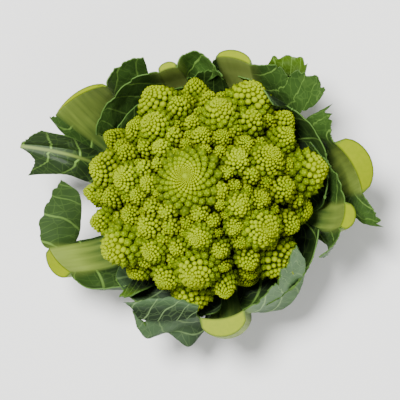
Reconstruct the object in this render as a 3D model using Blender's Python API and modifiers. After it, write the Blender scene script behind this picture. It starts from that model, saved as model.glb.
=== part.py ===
"""A romanesco head as cut for sale: the curd of spiral florets, its stem stump, and eight trimmed leaves."""

import math
import random

import bmesh
import bpy
from mathutils import Matrix, Vector

MM = 0.001
TURN = 2 * math.pi
GOLDEN_ANGLE = math.radians(137.508)
SEED = 7

# The dome that carries the florets, in mm above the cut end of the stem. It is a little less deep than wide.
DOME_RADIUS = 62.0
DOME_SHOULDER_Z = 71.0
DOME_RISE = 50.0
DOME_LOWEST_ANGLE = math.radians(112)
DOME_ROUNDNESS = 0.55
DOME_DEPTH_SHARE = 0.95
APEX_TOP_Z = 133.0

# (radius, height) of the solid core below the florets, from above the stem to under the apex.
CORE_PROFILE = [(40, 51), (50, 60), (55, 70), (49, 86), (34, 101), (14, 114), (0, 118)]
CORE_STEPS = 24

# A floret's half width and the climb from one to the next are shares of the dome's radius where it stands.
FLORET_SHARE = 0.22
FLORET_STEP = 0.024
FLORET_UNEVENNESS = 0.06
FLORET_TILT = 0.08
FIRST_FLORET_AZIMUTH = math.radians(106)
FLORET_UPWARD_LEAN = 0.42
SMALLEST_FLORET_RING = 20.0
LARGE_FLORET = 10.5

STEM_FOOT_RADIUS = 21.0
STEM_TOP_RADIUS = 31.0
STEM_TOP_Z = 46.0
STEM_FOOT_CHAMFER = 1.2
STEM_STEPS = 40
JOINT_GAP = 0.3
CUTTER_OVERRUN = 10

# The blade beside a leaf's stalk, before its half blade begins, is only a narrow wing. A bow in the cut edge
# is highest nearer the rib than the far corner, which a power below 1 brings about.
WING_WIDTH = 1.5
BOW_POWER = 0.7
BLADE_THICKNESS = 1.1
LEAF_ROWS = 10
RIB_COLUMNS = 4
BLADE_COLUMNS = 4

# One entry for each leaf, outermost first. Azimuths are in degrees counter-clockwise from +X.
# Points are (azimuth, radius, height) in mm: "rib" from the stem to the cut end, and "left" and "right"
# along the free edge of each half blade, up to its far corner. "starts" says how far along the rib the left
# and the right half begin. A "bow" pushes a half's cut edge out and up, and "twist" does so to the rib's left
# edge, and the opposite to its right.
LEAVES = {
    "leaf_1": {
        "rib": [(8, 14, 16), (8, 48, 20), (8, 82, 42), (8, 93, 62), (7, 99, 79)],
        "half_width": (11.5, 16.5),
        "thickness": (11, 13),
        "starts": (0.45, 0.45),
        "left": [(27, 82, 46), (36, 80, 63), (31, 101, 84)],
        "right": [(353, 92, 46), (348, 105, 56), (347.5, 119, 69)],
        "left_bow": (-3, 0),
        "right_bow": (0, -3),
        "twist": (-6, 8),
    },
    "leaf_2": {
        "rib": [(144, 14, 16), (144, 48, 20), (143, 82, 40), (142, 96, 60), (141, 105, 82)],
        "half_width": (12.5, 18.5),
        "thickness": (11, 5),
        "starts": (0.5, 0.5),
        "left": [(157, 90, 45), (156, 105, 61), (152.5, 117, 77)],
        "right": [(123, 84, 48), (115, 90, 64), (112, 97, 87)],
        "left_bow": (0, 0),
        "right_bow": (5, 0),
        "twist": (10, -5),
    },
    "leaf_3": {
        "rib": [(279, 14, 18), (279, 48, 22), (279, 76, 36), (279, 83, 54), (279, 83, 72)],
        "half_width": (12, 15),
        "thickness": (11, 12),
        "starts": (0.42, 0.42),
        "left": [(302, 88, 46), (321, 85, 66), (331, 70, 101)],
        "right": [(263, 99, 50), (245, 101, 57), (233, 90, 71)],
        "left_bow": (5, 0),
        "right_bow": (-12, 20),
        "twist": (0, 0),
    },
    "leaf_4": {
        "rib": [(73, 14, 16), (73, 48, 20), (73, 74, 40), (74, 83, 66), (74, 87, 90)],
        "half_width": (11.5, 12),
        "thickness": (11, 9),
        "starts": (0.4, 0.4),
        "left": [(87, 74, 46), (86, 82, 64), (84, 84, 84)],
        "right": [(52, 72, 44), (38, 84, 60), (38, 109, 80)],
        "left_bow": (0, 0),
        "right_bow": (8, 0),
        "twist": (0, 0),
    },
    "leaf_5": {
        "rib": [(205, 14, 20), (205, 48, 24), (205, 80, 38), (204, 97, 54), (203.5, 107, 68)],
        "half_width": (13, 10.5),
        "thickness": (11, 10),
        "starts": (0.45, 0.7),
        "left": [(219, 76, 40), (227, 80, 48), (227, 79, 60)],
        "right": [(192, 87, 60), (180, 80, 80), (174.5, 91, 91)],
        "left_bow": (6, -3),
        "right_bow": (16, -2),
        "twist": (-3.5, -2),
    },
    "leaf_6": {
        "rib": [(350, 14, 33), (350, 46, 35), (349, 73, 46), (348, 86, 62), (348, 94, 82)],
        "half_width": (12, 8.5),
        "thickness": (10, 8),
        "starts": (0.45, 0.45),
        "left": [(3, 80, 52), (13, 78, 70), (20, 76, 98)],
        "right": [(337, 84, 50), (331, 90, 64), (329, 87, 82)],
        "left_bow": (2, 3),
        "right_bow": (3, 0),
        "twist": (0, 0),
    },
    "leaf_7": {
        "rib": [(105, 14, 33), (105, 46, 34), (105, 71, 43), (104.5, 82, 64), (104, 84, 91)],
        "half_width": (12, 6.5),
        "thickness": (10, 7),
        "starts": (0.42, 0.42),
        "left": [(126, 78, 46), (147, 80, 54), (151, 85, 72)],
        "right": [(93, 75, 56), (83, 75, 76), (76, 72, 94)],
        "left_bow": (5, 2),
        "right_bow": (12, 0),
        "twist": (0, 0),
    },
    "leaf_8": {
        "rib": [(166, 14, 33), (164, 46, 35), (162, 74, 46), (162, 96, 64), (164, 130, 72)],
        "half_width": (12, 3),
        "thickness": (9, 3),
        "starts": (0.4, 0.4),
        "left": [(171, 82, 50), (170, 98, 62), (172, 126, 58)],
        "right": [(156, 82, 52), (156, 98, 72), (158, 117, 79)],
        "left_bow": (-8, 0),
        "right_bow": (0, 2),
        "twist": (0, 0),
    },
}

CURD_GREEN = (0.47, 0.56, 0.04, 1)
STEM_GREEN = (0.62, 0.70, 0.36, 1)
LEAF_GREEN = (0.07, 0.17, 0.05, 1)


def clear_scene():
    for obj in list(bpy.data.objects):
        bpy.data.objects.remove(obj)


def collection(name):
    made = bpy.data.collections.new(name)
    bpy.context.scene.collection.children.link(made)
    return made


def finish_material(name, colour, roughness):
    made = bpy.data.materials.new(name)
    made.use_nodes = True
    shader = made.node_tree.nodes["Principled BSDF"]
    shader.inputs["Base Color"].default_value = colour
    shader.inputs["Roughness"].default_value = roughness
    shader.inputs["Metallic"].default_value = 0
    return made


def new_object(name, mesh, home, material=None):
    obj = bpy.data.objects.new(name, mesh)
    home.objects.link(obj)
    if material:
        mesh.materials.append(material)
    return obj


def mesh_from(bm, name):
    bmesh.ops.recalc_face_normals(bm, faces=bm.faces)
    mesh = bpy.data.meshes.new(name)
    bm.to_mesh(mesh)
    bm.free()
    return mesh


def turned(profile, steps):
    """A bmesh turned about the Z axis from (radius, height) points that start and end on the axis, in mm."""
    bm = bmesh.new()
    points = [bm.verts.new((radius * MM, 0, height * MM)) for radius, height in profile]
    edges = [bm.edges.new(pair) for pair in zip(points, points[1:])]
    about = {"cent": (0, 0, 0), "axis": (0, 0, 1), "angle": TURN}
    bmesh.ops.spin(bm, geom=points + edges, steps=steps, use_merge=True, **about)
    bmesh.ops.remove_doubles(bm, verts=bm.verts, dist=0.01 * MM)
    return bm


def keep_evaluated(obj):
    """Replaces the object's mesh by what its modifiers make of it."""
    graph = bpy.context.evaluated_depsgraph_get()
    mesh = bpy.data.meshes.new_from_object(obj.evaluated_get(graph))
    obj.modifiers.clear()
    obj.data = mesh


def shells(bm):
    """The faces of each shell of the mesh, as sets. Shells that only touch along an edge stay apart."""
    waiting = set(bm.faces)
    while waiting:
        shell = set()
        reached = [waiting.pop()]
        while reached:
            face = reached.pop()
            shell.add(face)
            plain = [edge for edge in face.edges if len(edge.link_faces) == 2]
            beside = {other for edge in plain for other in edge.link_faces} & waiting
            waiting -= beside
            reached.extend(beside)
        yield shell


def keep_largest_shell(obj):
    """Fills the small hollows that the florets close off between their roots."""
    bm = bmesh.new()
    bm.from_mesh(obj.data)
    bmesh.ops.triangulate(bm, faces=bm.faces)
    largest = max(shells(bm), key=len)
    bmesh.ops.delete(bm, geom=[face for face in bm.faces if face not in largest], context="FACES")
    bm.to_mesh(obj.data)
    bm.free()


def dome_point(angle):
    """(radius, height) of the dome at an angle from its apex, in mm: part ellipse and part cone."""
    cone = 1 - 2 * angle / math.pi
    height = DOME_ROUNDNESS * math.cos(angle) + (1 - DOME_ROUNDNESS) * cone
    return DOME_RADIUS * math.sin(angle), DOME_SHOULDER_Z + DOME_RISE * height


def floret_places():
    """(azimuth, dome angle) of each floret, lowest first. Each is one golden angle round from the last,
    and higher by a fixed share of the dome's radius there, so florets shrink towards the apex."""
    places = []
    azimuth, climbed, angle = FIRST_FLORET_AZIMUTH, 0.0, DOME_LOWEST_ANGLE
    fine = math.radians(0.1)
    while dome_point(angle)[0] > SMALLEST_FLORET_RING:
        radius, height = dome_point(angle)
        if climbed >= FLORET_STEP * len(places):
            places.append((azimuth, angle))
            azimuth += GOLDEN_ANGLE
        higher = dome_point(angle - fine)
        climbed += math.hypot(higher[0] - radius, higher[1] - height) / radius
        angle -= fine
    return places


def dome_frame(azimuth, angle):
    """The floret's foot and the way it points, leaning up from the dome's normal."""
    radius, height = dome_point(angle)
    lower = dome_point(angle + 0.01)
    slope = math.atan2(lower[0] - radius, height - lower[1])
    out = math.cos(slope)
    normal = Vector((out * math.cos(azimuth), out * math.sin(azimuth), math.sin(slope)))
    foot = Vector((radius * math.cos(azimuth), radius * math.sin(azimuth) * DOME_DEPTH_SHARE, height)) * MM
    return foot, (normal + Vector((0, 0, FLORET_UPWARD_LEAN))).normalized()


def bud_cone(profile, sides, bumps_above, bump_height):
    """A turned cone whose rings are turned half a side each, so that its poked faces are buds in spirals."""
    bm = turned(profile, sides)
    heights = sorted({round(height, 4) for _, height in profile})
    for vert in bm.verts:
        ring = heights.index(round(vert.co.z / MM, 4))
        half_sides = Matrix.Rotation(ring * TURN / sides / 2, 3, "Z")
        bmesh.ops.rotate(bm, verts=[vert], cent=(0, 0, 0), matrix=half_sides)
    bmesh.ops.recalc_face_normals(bm, faces=bm.faces)
    quads = [face for face in bm.faces if len(face.verts) == 4]
    budded = [face for face in quads if face.calc_center_median().z > bumps_above * MM]
    bmesh.ops.poke(bm, faces=budded, offset=bump_height, use_relative_offset=True)
    return bm


# Each floret shape is one unit wide from its middle, on a root that tapers into the dome.
LARGE_SIDES = 6
SMALL_SIDES = 5
APEX_SIDES = 13
LARGE_PROFILE = [(0, -1.5), (0.3, -1.3), (0.98, -0.1), (0.96, 0.3), (0.68, 0.78), (0.34, 1.14), (0, 1.42)]
SMALL_PROFILE = [(0, -1.4), (0.3, -1.2), (1, 0.0), (0.72, 0.62), (0.34, 1.06), (0, 1.4)]
APEX_PROFILE = [
    (0, -8),
    (16, -7),
    (19.5, 0),
    (18, 5),
    (15, 9.5),
    (11.5, 13.2),
    (7.8, 16.2),
    (4, 18.6),
    (0, 20),
]


def floret_mesh(width):
    if width > LARGE_FLORET:
        return mesh_from(bud_cone(LARGE_PROFILE, LARGE_SIDES, 0.3, 0.42), "large_floret")
    return mesh_from(bud_cone(SMALL_PROFILE, SMALL_SIDES, 0, 0.4), "small_floret")


def add_floret(number, azimuth, angle, chance, home):
    foot, way = dome_frame(azimuth, angle)
    width = FLORET_SHARE * dome_point(angle)[0] * chance.uniform(1 - FLORET_UNEVENNESS, 1 + FLORET_UNEVENNESS)
    floret = new_object(f"floret_{number:03d}", floret_mesh(width), home)
    tilt = Vector((chance.uniform(-1, 1), chance.uniform(-1, 1), chance.uniform(-1, 1))) * FLORET_TILT
    turn = (way + tilt).to_track_quat("Z", "Y").to_matrix().to_4x4()
    spin = Matrix.Rotation(chance.uniform(0, TURN), 4, "Z")
    floret.matrix_world = Matrix.Translation(foot) @ turn @ spin @ Matrix.Scale(width, 4)


def add_curd(home, material):
    """The core with every floret fused to it, as they grow."""
    chance = random.Random(SEED)
    florets = collection("florets")
    for number, (azimuth, angle) in enumerate(floret_places()):
        add_floret(number, azimuth, angle, chance, florets)
    apex = new_object("floret_apex", mesh_from(bud_cone(APEX_PROFILE, APEX_SIDES, -1, 0.3), "apex"), florets)
    apex.location.z = (APEX_TOP_Z - APEX_PROFILE[-1][1]) * MM
    foot = STEM_TOP_Z + JOINT_GAP
    core = [(0, foot), (STEM_TOP_RADIUS - 3, foot), *CORE_PROFILE]
    curd = new_object("curd", mesh_from(turned(core, CORE_STEPS), "curd"), home, material)
    union = curd.modifiers.new("fuse_florets", "BOOLEAN")
    union.operation = "UNION"
    union.operand_type = "COLLECTION"
    union.collection = florets
    union.solver = "MANIFOLD"
    keep_evaluated(curd)
    keep_largest_shell(curd)
    for floret in list(florets.objects):
        bpy.data.objects.remove(floret)
    return curd


def stem_radius(height):
    return STEM_FOOT_RADIUS + (STEM_TOP_RADIUS - STEM_FOOT_RADIUS) * height / STEM_TOP_Z


def add_stem(home, material):
    """The stump, cut flat across at the foot, where the whole head stands."""
    foot = STEM_FOOT_RADIUS - STEM_FOOT_CHAMFER
    side = [(STEM_TOP_RADIUS, STEM_TOP_Z), (stem_radius(STEM_FOOT_CHAMFER), STEM_FOOT_CHAMFER)]
    profile = [(0, STEM_TOP_Z), *side, (foot, 0), (0, 0)]
    stem = new_object("stem", mesh_from(turned(profile, STEM_STEPS), "stem"), home, material)
    stem.data.shade_smooth()
    stem.data.set_sharp_from_angle(angle=math.radians(40))
    return stem


def add_stem_cutter(home):
    """The stem grown by the joint gap, which trims each leaf's foot to fit against it."""
    low, high = -CUTTER_OVERRUN, STEM_TOP_Z + CUTTER_OVERRUN
    foot, top = stem_radius(low) + JOINT_GAP, stem_radius(high) + JOINT_GAP
    profile = [(0, high), (top, high), (foot, low), (0, low)]
    cutter = new_object("stem_cutter", mesh_from(turned(profile, STEM_STEPS), "stem_cutter"), home)
    cutter.hide_render = True
    cutter.display_type = "WIRE"
    return cutter


def along(points, share):
    """A point on the smooth curve through evenly spaced points, run on straight past either end."""
    spans = len(points) - 1
    step = min(max(int(share * spans), 0), spans - 1)
    t = share * spans - step
    if t > 1:
        return along(points, 1) + (along(points, 1) - along(points, 0.98)) * (share - 1) / 0.02
    before, start = points[max(step - 1, 0)], points[step]
    end, after = points[step + 1], points[min(step + 2, spans)]
    first, last = (end - before) / 2, (after - start) / 2
    bend = start * 2 - end * 2 + first + last
    return start + first * t + (end * 3 - start * 3 - first * 2 - last) * t**2 + bend * t**3


def ease(share):
    share = min(max(share, 0), 1)
    return share * share * (3 - 2 * share)


def between(pair, share):
    return pair[0] + (pair[1] - pair[0]) * share


def near(azimuth, other):
    """The azimuth, in whole turns from itself, that lies nearest the other."""
    return azimuth + 360 * round((other - azimuth) / 360)


def leaf_point(leaf, side, across, share):
    """(azimuth, radius, height) on the leaf's inner face. across is 0 on the rib's middle, 1 at the rib's
    edge and 2 at the blade's free edge, and side is 1 to the left and -1 to the right."""
    rib = along([Vector(point) for point in leaf["rib"]], share)
    half = between(leaf["half_width"], share)
    if across <= 1:
        to_edge = Vector((side * math.degrees(half * across / rib.y), 0, 0))
        twist = Vector((0, *leaf["twist"])) * side * across * share**2
        return rib + to_edge + twist + Vector((0, -0.12, 0.04)) * half * across**2
    name = "left" if side > 0 else "right"
    start = leaf["starts"][0 if side > 0 else 1]
    wing = Vector((side * math.degrees(WING_WIDTH / rib.y), 0, 0))
    rib_edge = leaf_point(leaf, side, 1, share)
    edge = [leaf_point(leaf, side, 1, start) + wing]
    edge += [Vector((near(azimuth, rib.x), *rest)) for azimuth, *rest in leaf[name]]
    reached = max(share - start, 0) / (1 - start)
    free = along(edge, reached) if share > start else rib_edge + wing
    width = across - 1
    swell = math.sin(math.pi * width**BOW_POWER) * ease(reached) ** 2
    return rib_edge.lerp(free, width) + Vector((0, *leaf[name + "_bow"])) * swell


def to_space(point):
    azimuth = math.radians(point.x)
    return Vector((point.y * math.cos(azimuth), point.y * math.sin(azimuth), point.z)) * MM


def add_leaf(name, leaf, home, material, cutter):
    """One leaf: its inner face as a grid, thickened outwards, thick along the rib and thin in the blade."""
    columns = 2 * (RIB_COLUMNS // 2 + BLADE_COLUMNS)
    middle = columns // 2
    bm = bmesh.new()
    bmesh.ops.create_grid(bm, x_segments=columns, y_segments=LEAF_ROWS, size=1)
    flesh = {}
    for vert in bm.verts:
        column, share = round((vert.co.x + 1) * middle), (vert.co.y + 1) / 2
        side = 1 if column < middle else -1
        step = abs(column - middle)
        half_rib = RIB_COLUMNS // 2
        across = step / half_rib if step <= half_rib else 1 + (step - half_rib) / BLADE_COLUMNS
        rib_thickness = between(leaf["thickness"], share) * math.sqrt(max(1 - min(across, 1) ** 2, 0))
        flesh[vert.index] = max(rib_thickness, BLADE_THICKNESS) / max(leaf["thickness"])
        vert.co = to_space(leaf_point(leaf, side, across, share))
    bmesh.ops.triangulate(bm, faces=bm.faces, quad_method="SHORT_EDGE")
    mesh = bpy.data.meshes.new(name)
    bm.to_mesh(mesh)
    bm.free()
    obj = new_object(name, mesh, home, material)
    group = obj.vertex_groups.new(name="flesh")
    for index, weight in flesh.items():
        group.add([index], weight, "REPLACE")
    thicken = obj.modifiers.new("thickness", "SOLIDIFY")
    thicken.thickness = max(leaf["thickness"]) * MM
    thicken.vertex_group = "flesh"
    thicken.offset = -1
    fit = obj.modifiers.new("fit_to_stem", "BOOLEAN")
    fit.operation = "DIFFERENCE"
    fit.object = cutter
    fit.solver = "EXACT"
    return obj


def main():
    clear_scene()
    head = collection("romanesco_head")
    cutters = collection("cutters")
    leaf_material = finish_material("leaf", LEAF_GREEN, 0.5)
    add_curd(head, finish_material("curd", CURD_GREEN, 0.55))
    add_stem(head, finish_material("stem", STEM_GREEN, 0.5))
    cutter = add_stem_cutter(cutters)
    for name, leaf in LEAVES.items():
        add_leaf(name, leaf, head, leaf_material, cutter)


main()
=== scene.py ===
# %% [markdown]
# # A romanesco head
# A romanesco is a flower head that never opened: one growing tip keeps budding in a golden-angle spiral,
# and every bud does the same again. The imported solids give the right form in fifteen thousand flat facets.
# This lesson replaces each solid by finer pieces of the same form, made from the same few measures: a curd
# of buds on buds, cropped leaves with ribs and veins, and the cut stem.

import math
import random

import bmesh
import bpy
from mathutils import Matrix, Vector, noise


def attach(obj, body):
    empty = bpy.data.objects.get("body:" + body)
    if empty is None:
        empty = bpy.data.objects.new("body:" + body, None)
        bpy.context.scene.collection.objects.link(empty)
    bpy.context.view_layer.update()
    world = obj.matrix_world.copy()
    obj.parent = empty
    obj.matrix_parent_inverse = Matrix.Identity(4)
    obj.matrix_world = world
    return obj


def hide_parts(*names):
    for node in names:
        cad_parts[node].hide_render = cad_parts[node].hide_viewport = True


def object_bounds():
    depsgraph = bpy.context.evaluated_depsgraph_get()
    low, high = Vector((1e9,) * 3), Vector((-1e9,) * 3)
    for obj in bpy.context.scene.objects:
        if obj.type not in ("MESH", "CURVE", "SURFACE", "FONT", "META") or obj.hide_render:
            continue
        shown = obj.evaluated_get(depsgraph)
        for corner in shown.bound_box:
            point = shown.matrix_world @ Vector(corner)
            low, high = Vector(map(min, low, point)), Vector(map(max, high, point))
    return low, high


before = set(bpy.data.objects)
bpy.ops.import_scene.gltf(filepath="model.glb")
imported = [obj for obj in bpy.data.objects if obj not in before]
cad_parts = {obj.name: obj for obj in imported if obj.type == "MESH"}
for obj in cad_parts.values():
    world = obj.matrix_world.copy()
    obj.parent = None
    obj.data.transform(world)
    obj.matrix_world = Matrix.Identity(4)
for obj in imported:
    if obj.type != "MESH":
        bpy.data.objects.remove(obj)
cad_low, cad_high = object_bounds()
print("Packed nodes:", ", ".join(sorted(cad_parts)))

# %% [markdown]
# The head stands on its cut stem, and every height is counted from there. The shape values are in
# millimetres, because that is how a vegetable is measured, and one factor takes them to Blender's metres.

# %% The measures of the head
MM = 0.001
TURN = 2 * math.pi
GOLDEN_ANGLE = math.radians(137.508)
SEED = 7

DOME_RADIUS = 62.0
DOME_SHOULDER_Z = 71.0
DOME_RISE = 50.0
DOME_LOWEST_ANGLE = math.radians(112)
DOME_ROUNDNESS = 0.55
DOME_DEPTH_SHARE = 0.95
APEX_TOP_Z = 133.0
CORE_PROFILE = [(28, 46.3), (40, 51), (50, 60), (55, 70), (49, 86), (34, 101), (14, 114), (0, 118)]

FLORET_SHARE = 0.22
FLORET_STEP = 0.024
FLORET_UNEVENNESS = 0.06
FLORET_TILT = 0.08
FIRST_FLORET_AZIMUTH = math.radians(106)
FLORET_UPWARD_LEAN = 0.42
SMALLEST_FLORET_RING = 20.0
SMALL_FLORET = 6.6
LARGE_FLORET = 10.0

STEM_FOOT_RADIUS = 21.0
STEM_TOP_RADIUS = 31.0
STEM_TOP_Z = 46.0

# %% [markdown]
# A Catmull-Rom curve runs smoothly through a few chosen points. It serves for the turned outline of a
# floret, and for the ribs and free edges of the leaves.

# %% A smooth curve through points
def along(points, share):
    """The point at a share of the way through evenly spaced points, run on straight past the last."""
    spans = len(points) - 1
    step = min(max(int(share * spans), 0), spans - 1)
    t = share * spans - step
    if t > 1:
        return along(points, 1) + (along(points, 1) - along(points, 0.98)) * (share - 1) / 0.02
    before, start = points[max(step - 1, 0)], points[step]
    end, after = points[step + 1], points[min(step + 2, spans)]
    first, last = (end - before) / 2, (after - start) / 2
    bend = start * 2 - end * 2 + first + last
    return start + first * t + (end * 3 - start * 3 - first * 2 - last) * t**2 + bend * t**3


def ease(share):
    share = min(max(share, 0), 1)
    return share * share * (3 - 2 * share)


def between(pair, share):
    return pair[0] + (pair[1] - pair[0]) * share


# %% [markdown]
# Colours are picked as sRGB hex values, as a painter reads them off a screen. Shaders want linear light, so
# one function turns them. Another adds a node with its settings, values and links, and every material below
# is a short list of such nodes.

# %% Colours and nodes
def linear(hex_colour):
    channels = [int(hex_colour[k : k + 2], 16) / 255 for k in (1, 3, 5)]
    return [c / 12.92 if c <= 0.04045 else ((c + 0.055) / 1.055) ** 2.4 for c in channels] + [1]


def fill(node, inputs):
    """Gives each input of a node a value, or links it to an output or to another node's first output."""
    for key, given in inputs.items():
        if isinstance(given, bpy.types.Node):
            given = next(output for output in given.outputs if output.enabled)
        if isinstance(given, bpy.types.NodeSocket):
            node.id_data.links.new(given, node.inputs[key])
        else:
            node.inputs[key].default_value = given


def new_material(name, inputs):
    made = bpy.data.materials.new(name)
    made.use_nodes = True
    shader = made.node_tree.nodes["Principled BSDF"]
    fill(shader, {"Metallic": 0, **inputs})
    return made, shader


def add_node(material, kind, inputs=None, **settings):
    node = material.node_tree.nodes.new("ShaderNode" + kind)
    for key, value in settings.items():
        setattr(node, key, value)
    fill(node, inputs or {})
    return node


# %% [markdown]
# The curd's skin is fresh flower-bud tissue: matt, faintly waxy and yellow-green at the tips, which also
# carry a painted highlight, and painted shade makes it a deeper green down between the buds and at each
# floret's root.
# The matt finish keeps shiny highlights off, so that the eye reads the buds by their shading. Two numbers
# stored on
# the mesh carry the colours: "rise" runs from a bud's foot to its tip, and "reach" from a floret's root to
# its tip.

# %% The curd's skin
# The crevice and root greens are painted shade, and the tip colour is the tips' own yellow-green with a
# painted highlight in it.
CURD_TIP_AND_HIGHLIGHT = linear("#8C9D00")
CURD_BUD = linear("#5E7700")
CURD_CREVICE_SHADE = linear("#1F3001")
CURD_ROOT_SHADE = linear("#151F02")
CURD_PATCH = 14.0


def curd_skin():
    skin, shader = new_material(
        "fresh_curd_tissue", {"Roughness": 0.6, "IOR": 1.33, "Specular IOR Level": 0.12}
    )
    rise = add_node(skin, "Attribute", attribute_name="rise").outputs["Fac"]
    reach = add_node(skin, "Attribute", attribute_name="reach").outputs["Fac"]
    lit = add_node(skin, "ValToRGB", {"Fac": rise})
    lit.color_ramp.elements[0].color = CURD_CREVICE_SHADE
    lit.color_ramp.elements[1].color = CURD_TIP_AND_HIGHLIGHT
    lit.color_ramp.elements.new(0.42).color = CURD_BUD
    # Low reach, at a floret's foot, mixes in the root green: painted shade.
    sinking = {"From Min": 0.18, "From Max": 0.86, "To Min": 0.97, "To Max": 0.0, "Value": reach}
    sunk = add_node(skin, "MapRange", sinking, interpolation_type="SMOOTHSTEP")
    deep = add_node(skin, "Mix", {"Factor": sunk, "A": lit, "B": CURD_ROOT_SHADE}, data_type="RGBA")
    # Near a floret's tip everything is mixed towards the tip colour, so the painted shade in its crevices
    # fades there.
    paling = {"From Min": 0.7, "From Max": 1.0, "To Min": 0.0, "To Max": 0.75, "Value": reach}
    near_tip = add_node(skin, "MapRange", paling, interpolation_type="SMOOTHSTEP")
    crowned = add_node(skin, "Mix", {"Factor": near_tip, "A": deep, "B": CURD_TIP_AND_HIGHLIGHT}, data_type="RGBA")
    place = add_node(skin, "TexCoord").outputs["Object"]
    patches = add_node(skin, "TexNoise", {"Scale": 1 / (CURD_PATCH * MM), "Detail": 2, "Vector": place})
    spread = {"From Min": 0.3, "From Max": 0.7, "To Min": 0.85, "To Max": 1.12, "Value": patches}
    tone = add_node(skin, "MapRange", spread)
    varied = add_node(skin, "HueSaturation", {"Color": crowned, "Value": tone})
    fill(shader, {"Base Color": varied})
    return skin


curd_material = curd_skin()
print("Made", curd_material.name)

# %% [markdown]
# The smallest thing to be seen is a bead: a bud a millimetre or two across that has not yet divided. It is
# a drop turned from five points, and six sides are enough, because there are thousands. A bud a few
# millimetres across is already a cone of beads of its own. It is a turned outline whose rings are each
# turned by half a side, so that poking every face outwards leaves beads in crossing spirals.

# %% A bead and a bud
BEAD_OUTLINE = [(0, -1.2), (0.96, -0.1), (0.84, 0.52), (0.4, 0.98), (0, 1.12)]
BUD_OUTLINE = [(0, -1.0), (0.82, -0.3), (0.98, 0.14), (0.74, 0.68), (0.36, 1.16), (0, 1.6)]
BUD_SIDES = 6
BEAD_HEIGHT = 0.6


def turned(outline, steps):
    """A bmesh turned about Z from (radius, height) points that start and end on the axis."""
    bm = bmesh.new()
    points = [bm.verts.new((radius, 0, height)) for radius, height in outline]
    edges = [bm.edges.new(pair) for pair in zip(points, points[1:])]
    about = {"cent": (0, 0, 0), "axis": (0, 0, 1), "angle": TURN}
    bmesh.ops.spin(bm, geom=points + edges, steps=steps, use_merge=True, **about)
    bmesh.ops.remove_doubles(bm, verts=bm.verts, dist=1e-5)
    bmesh.ops.recalc_face_normals(bm, faces=bm.faces)
    return bm


def kept_mesh(bm, name):
    mesh = bpy.data.meshes.new(name)
    bm.to_mesh(mesh)
    bm.free()
    return mesh


def mark(bm, name, value_of):
    layer = bm.verts.layers.float.get(name) or bm.verts.layers.float.new(name)
    for vert in bm.verts:
        vert[layer] = value_of(vert)


def bead_mesh():
    bm = turned(BEAD_OUTLINE, BUD_SIDES)
    # "rise" runs from the bead's foot to its top, so the skin paints shade below and a highlight on top.
    mark(bm, "rise", lambda vert: ease((vert.co.z + 0.5) / 1.5))
    return kept_mesh(bm, "bead")


def bud_mesh():
    bm = turned(BUD_OUTLINE, BUD_SIDES)
    heights = sorted({round(height, 4) for _, height in BUD_OUTLINE})
    for vert in bm.verts:
        ring = heights.index(round(vert.co.z, 4))
        half_sides = Matrix.Rotation(ring * TURN / BUD_SIDES / 2, 3, "Z")
        bmesh.ops.rotate(bm, verts=[vert], cent=(0, 0, 0), matrix=half_sides)
    mark(bm, "rise", lambda vert: 0.4 * ease((vert.co.z + 0.6) / 2.2))
    quads = [face for face in bm.faces if len(face.verts) == 4 and face.calc_center_median().z > -0.5]
    poked = bmesh.ops.poke(bm, faces=quads, offset=BEAD_HEIGHT, use_relative_offset=True)
    layer = bm.verts.layers.float["rise"]
    # Each poked bead gets a higher rise towards its tip, so the skin paints a highlight on it and shade
    # between the beads.
    for vert in poked["verts"]:
        vert[layer] = 0.5 + 0.5 * ease((vert.co.z + 0.6) / 1.9)
    top = max(bm.verts, key=lambda vert: vert.co.z)
    top[layer] = 1
    return kept_mesh(bm, "bud")


BEAD = bead_mesh()
BUD = bud_mesh()
print("Bead:", len(BEAD.polygons), "faces. Bud:", len(BUD.polygons), "faces")

# %% [markdown]
# Plants place buds by one rule: each bud starts a golden angle round from the last. The spacing is finest
# at the tip and widens towards the foot. A band of the outline holds as many buds as its area has room for,
# at one bud per hexagon of that spacing, so summing the area up the outline tells when the next bud is due.

# %% Places along a golden-angle spiral
def spiral_places(outline, spacings, smallest_ring):
    """(azimuth, point, outward normal, spacing) for each bud on a turned outline, lowest first."""
    fine = 700
    finest, widening, swelling = spacings
    points = [along([Vector(point) for point in outline], k / fine) for k in range(fine + 1)]
    azimuth, due = 0.0, 0.0
    for low, high in zip(points, points[1:]):
        radius = (low.x + high.x) / 2
        if radius < smallest_ring and low.y > points[0].y:
            break
        rise = high - low
        spacing = finest + widening * radius + swelling * radius**2
        due += TURN * radius * rise.length / (spacing**2 * math.sqrt(3) / 2)
        while due >= 1:
            due -= 1
            azimuth += GOLDEN_ANGLE
            yield azimuth, (low + high) / 2, Vector((rise.y, -rise.x)).normalized(), spacing


def add_copy(bm, mesh, matrix):
    """Adds a placed copy of a mesh to bm and returns its vertices."""
    first = len(bm.verts)
    bm.from_mesh(mesh)
    bm.verts.ensure_lookup_table()
    added = bm.verts[first:]
    bmesh.ops.transform(bm, matrix=matrix, verts=added)
    return added


def set_upon(bm, mesh, azimuth, point, normal, width, lean, turn):
    """Adds a copy of a unit mesh to bm, standing on a turned surface."""
    round_axis = Matrix.Rotation(azimuth, 4, "Z")
    way = Vector((normal.x, 0, normal.y + lean)).to_track_quat("Z", "Y").to_matrix().to_4x4()
    place = Matrix.Translation((point.x, 0, point.y))
    spin = Matrix.Rotation(turn, 4, "Z")
    add_copy(bm, mesh, round_axis @ place @ way @ spin @ Matrix.Scale(width, 4))


# %% [markdown]
# A floret is a cone of such buds. Near a large one's foot the buds are large enough to have beads of their
# own, and towards its tip they shrink to single beads and then to a smooth point. A sprig, the smallest
# kind, has single beads only. Four florets of each kind are made once and placed many times, each with its
# own turn and size, as no one can tell them apart in the crowd.

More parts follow.
